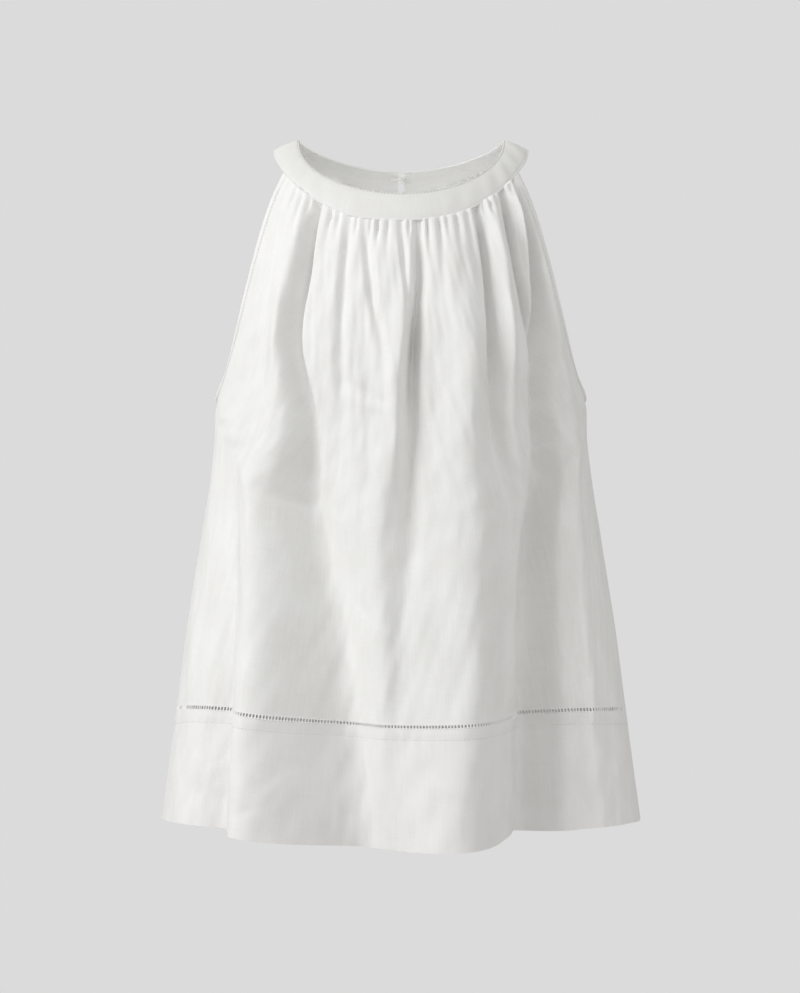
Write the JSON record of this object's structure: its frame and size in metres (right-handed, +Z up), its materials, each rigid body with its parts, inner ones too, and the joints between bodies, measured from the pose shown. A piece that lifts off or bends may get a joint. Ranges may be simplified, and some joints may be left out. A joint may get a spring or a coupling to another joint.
{
  "type": "stand collar top",
  "caption": "Sleeveless A-line linen top gathered into a stand collar, with bound armholes and a deep hem band under a row of ladder hemstitching.",
  "frame": {"origin": "the middle of the neck at shoulder height, where a wearer's neck and shoulders hold the top", "axes": "+Z up, the front faces -Y, +X to the right of someone who looks at the front"},
  "size_m": [0.4306, 0.3067, 0.6191],
  "materials": {
    "panel_linen": "plain woven linen, washed, matt",
    "band_linen": "plain woven linen in two layers, pressed",
    "collar_linen": "plain woven linen in two layers, pressed",
    "binding_linen": "narrow folded strip of the same linen",
    "hook_wire": "white enamelled wire"
  },
  "bodies": {
    "root": {"front_panel": "panel_linen", "back_panel": "panel_linen", "front_hem_band": "band_linen", "back_hem_band": "band_linen", "collar_front": "collar_linen", "collar_back_left": "collar_linen", "collar_back_right": "collar_linen", "armhole_binding_left": "binding_linen", "armhole_binding_right": "binding_linen", "hook": "hook_wire", "eye": "hook_wire"}
  },
  "joints": []
}
